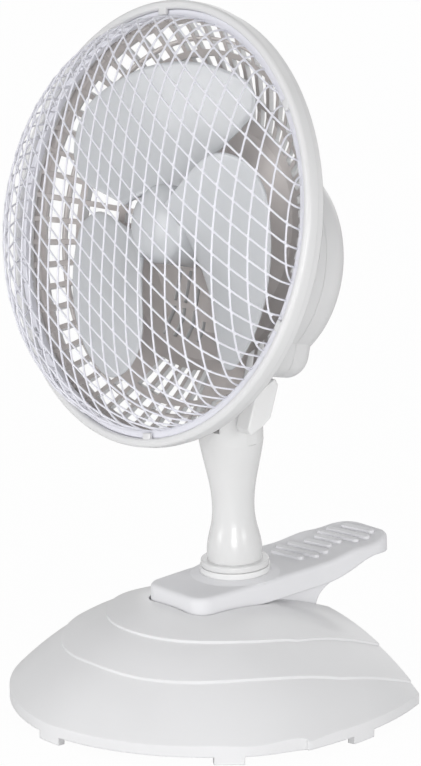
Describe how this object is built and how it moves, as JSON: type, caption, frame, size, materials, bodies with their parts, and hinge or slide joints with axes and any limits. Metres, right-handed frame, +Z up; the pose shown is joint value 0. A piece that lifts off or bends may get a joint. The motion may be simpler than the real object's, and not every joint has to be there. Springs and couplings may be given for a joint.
{
  "type": "clip fan",
  "caption": "Small fan on a spring clip: domed diamond mesh, three broad blades, ribbed rear guard, tilting head on a waisted swivel neck, clipped into a terraced base",
  "frame": {"origin": "under the middle of the whole object, on the table, halfway between the base's front tip and the end of the clip's handle", "axes": "+Z up, the fan blows towards -Y, +X to the right seen from the front"},
  "size_m": [0.19, 0.1901, 0.3107],
  "materials": {
    "base_white": "satin moulded ABS",
    "white_shell": "satin moulded ABS",
    "mesh_paint": "white powder coat",
    "blade_white": "gloss",
    "pad_rubber": "matt",
    "steel": "zinc plated",
    "weight_iron": "raw",
    "lamination": "stacked sheet",
    "coil_tape": "wound and taped",
    "brass": "turned",
    "aluminium": "die cast",
    "dark_plastic": "matt"
  },
  "bodies": {
    "base": {"base_shell": "base_white", "base_plate": "base_white", "base_weight": "weight_iron", "base_screws": "steel", "lower_jaw": "white_shell", "lower_pad": "pad_rubber", "clip_pin": "steel", "clip_spring": "steel"},
    "clip": {"upper_jaw": "white_shell", "upper_pad": "pad_rubber", "swivel_collar": "white_shell"},
    "neck": {"neck": "white_shell", "swivel_washer": "steel", "swivel_screw": "steel", "tilt_screw": "steel", "tilt_washers": "steel"},
    "knob": {"tilt_knob": "white_shell", "knob_insert": "brass"},
    "head": {"rear_guard": "white_shell", "rear_cover": "white_shell", "front_ring": "white_shell", "front_mesh": "mesh_paint", "stator_core": "lamination", "stator_coil": "coil_tape", "front_bracket": "aluminium", "rear_bracket": "aluminium", "front_bearing": "brass", "rear_bearing": "brass", "motor_screws": "steel", "cover_screws": "steel", "switch_body": "dark_plastic", "cord_gland": "dark_plastic"},
    "rotor": {"fan_blades": "blade_white", "motor_shaft": "steel", "rotor_core": "lamination"},
    "slider": {"switch_slider": "dark_plastic"}
  },
  "joints": [
    {"name": "jaw_open", "type": "hinge", "parent": "base", "child": "clip", "pos_m": [0, 0.03309, 0.04992], "axis": [-1, 0, 0], "range_deg": [0, 16], "stiffness_Nm_per_rad": 0.8, "springref_deg": -28.65, "deforming": ["clip_spring"]},
    {"name": "neck_swivel", "type": "hinge", "parent": "clip", "child": "neck", "pos_m": [0, 0.01061, 0.06099], "axis": [0, -0.0419, 0.9991], "range_deg": [-90, 90]},
    {"name": "head_tilt", "type": "hinge", "parent": "neck", "child": "head", "pos_m": [0, 0.00752, 0.13472], "axis": [-1, 0, 0], "range_deg": [-35, 50]},
    {"name": "knob_turn", "type": "hinge", "parent": "neck", "child": "knob", "pos_m": [0, 0.00752, 0.13472], "axis": [1, 0, 0], "range_deg": [0, 180]},
    {"name": "fan_spin", "type": "hinge", "parent": "head", "child": "rotor", "pos_m": [0, -0.01085, 0.21265], "axis": [0, -0.9763, 0.2164], "continuous": true},
    {"name": "switch_slide", "type": "slide", "parent": "head", "child": "slider", "axis": [1, 0, 0], "range_m": [0, 0.006]}
  ]
}
